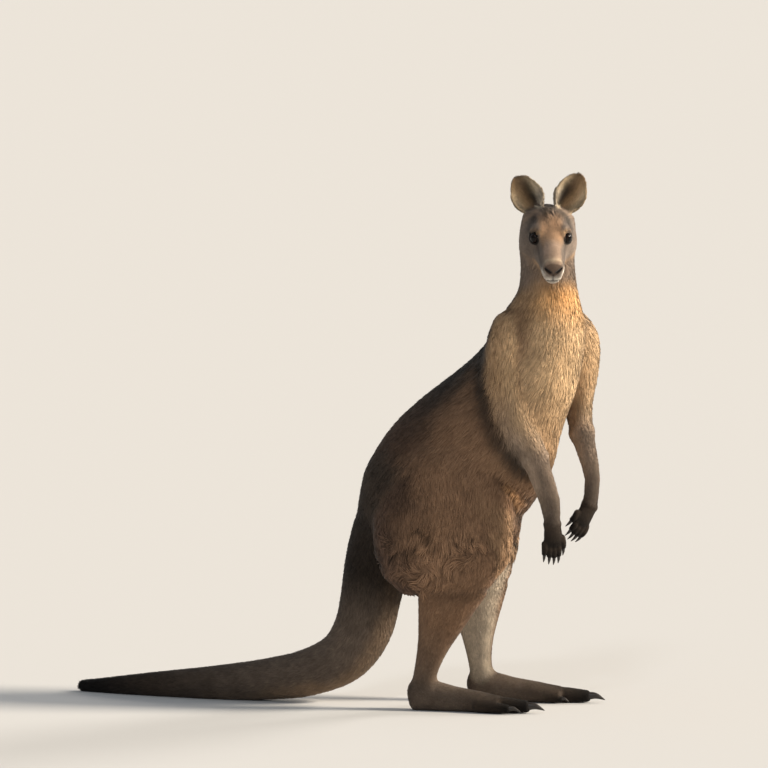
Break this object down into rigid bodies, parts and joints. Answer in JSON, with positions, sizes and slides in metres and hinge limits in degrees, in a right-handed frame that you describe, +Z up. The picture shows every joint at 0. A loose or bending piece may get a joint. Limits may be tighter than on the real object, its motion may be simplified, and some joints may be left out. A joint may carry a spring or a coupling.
{
  "type": "kangaroo",
  "caption": "Life-size standing eastern grey kangaroo, alert, forelegs hanging, body twisted so that the head looks over its right flank.",
  "frame": {"origin": "centre of the bounding box's bottom face, on the floor", "axes": "+Z up; the hindquarters and feet face -Y, so the tail lies towards +Y; the animal's left is +X"},
  "size_m": [0.3638, 1.3202, 1.2942],
  "materials": {
    "coat": "dense short fur, brown-grey above and pale below",
    "ear": "thin skin with fine short fur",
    "eye": "wet, dark brown",
    "horn": "dull black horn"
  },
  "bodies": {
    "root": {"abdomen": "coat", "chest": "coat", "claw_fifth_toe_left": "horn", "claw_fifth_toe_right": "horn", "claw_fourth_toe_left": "horn", "claw_fourth_toe_right": "horn", "claw_hand_left_1": "horn", "claw_hand_left_2": "horn", "claw_hand_left_3": "horn", "claw_hand_left_4": "horn", "claw_hand_left_5": "horn", "claw_hand_right_1": "horn", "claw_hand_right_2": "horn", "claw_hand_right_3": "horn", "claw_hand_right_4": "horn", "claw_hand_right_5": "horn", "claw_second_toe_left": "horn", "claw_second_toe_right": "horn", "ear_left": "ear", "ear_right": "ear", "eye_left": "eye", "eye_right": "eye", "foot_left": "coat", "foot_right": "coat", "forearm_left": "coat", "forearm_right": "coat", "hand_left": "coat", "hand_right": "coat", "head": "coat", "neck": "coat", "shank_left": "coat", "shank_right": "coat", "tail_base": "coat", "tail_middle": "coat", "tail_tip": "coat", "thigh_left": "coat", "thigh_right": "coat", "upper_arm_left": "coat", "upper_arm_right": "coat"}
  },
  "joints": []
}
